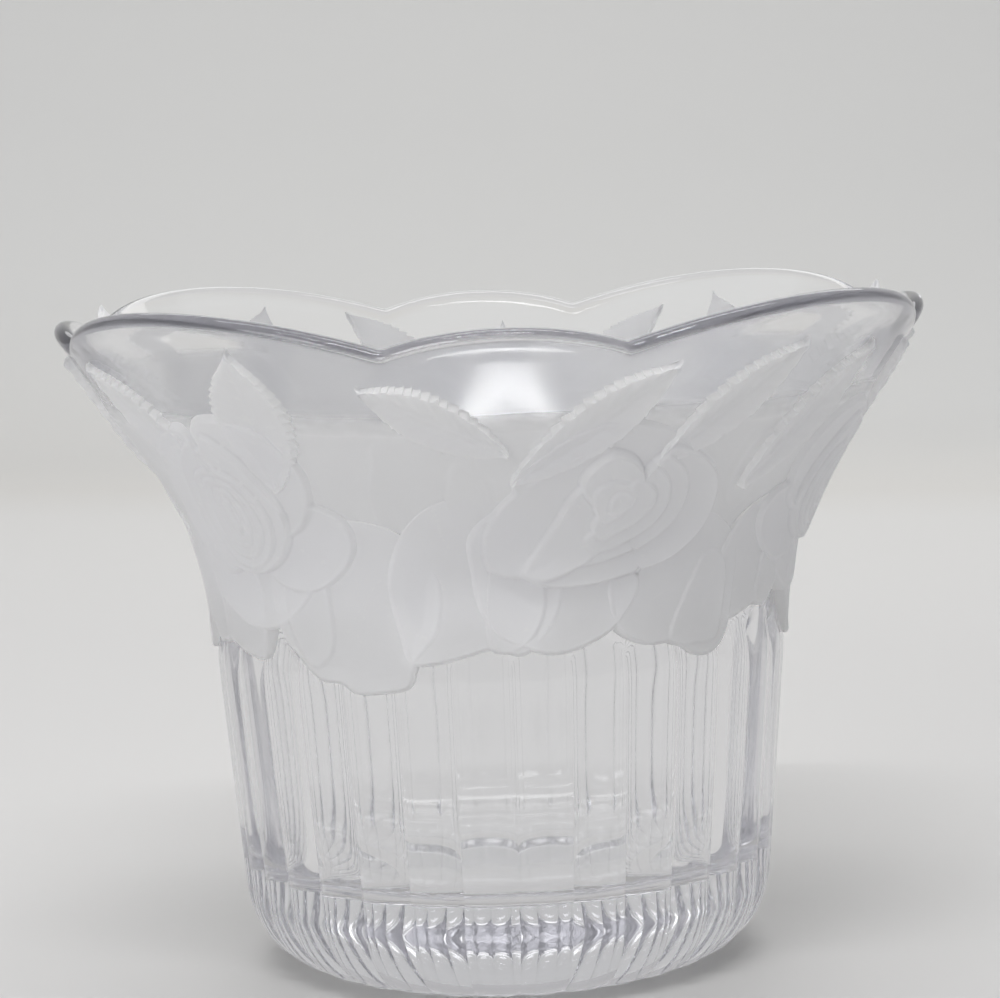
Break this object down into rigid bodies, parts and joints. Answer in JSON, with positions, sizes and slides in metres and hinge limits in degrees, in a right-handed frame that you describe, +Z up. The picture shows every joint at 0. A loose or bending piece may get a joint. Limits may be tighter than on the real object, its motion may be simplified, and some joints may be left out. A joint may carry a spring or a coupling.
{
  "type": "rose bowl vase",
  "caption": "Pressed glass rose bowl with a ribbed body, a wide scalloped flare, and satin roses and leaves in relief around the flare.",
  "frame": {"origin": "middle of the underside of the foot ring, on the surface the vase stands on", "axes": "+Z up along the vase's axis; -Y towards the viewer in the picture, through the middle of the near small lobe of the rim; +X to the viewer's right"},
  "size_m": [0.2034, 0.2037, 0.1576],
  "materials": {
    "clear_glass": "clear, fire polished",
    "satin_glass": "satin, acid frosted"
  },
  "bodies": {
    "root": {"vessel": "clear_glass", "rose_1": "satin_glass", "rose_2": "satin_glass", "rose_3": "satin_glass", "rose_4": "satin_glass", "rose_5": "satin_glass", "rose_6": "satin_glass", "lower_petal_1": "satin_glass", "lower_petal_2": "satin_glass", "lower_petal_3": "satin_glass", "lower_petal_4": "satin_glass", "lower_petal_5": "satin_glass", "lower_petal_6": "satin_glass", "lower_petal_7": "satin_glass", "lower_petal_8": "satin_glass", "lower_petal_9": "satin_glass", "lower_petal_10": "satin_glass", "lower_petal_11": "satin_glass", "lower_petal_12": "satin_glass", "leaf_1": "satin_glass", "leaf_2": "satin_glass", "leaf_3": "satin_glass", "leaf_4": "satin_glass", "leaf_5": "satin_glass", "leaf_6": "satin_glass", "leaf_7": "satin_glass", "leaf_8": "satin_glass", "leaf_9": "satin_glass", "leaf_10": "satin_glass", "leaf_11": "satin_glass", "leaf_12": "satin_glass", "leaf_13": "satin_glass", "leaf_14": "satin_glass", "leaf_15": "satin_glass", "leaf_16": "satin_glass"}
  },
  "joints": []
}
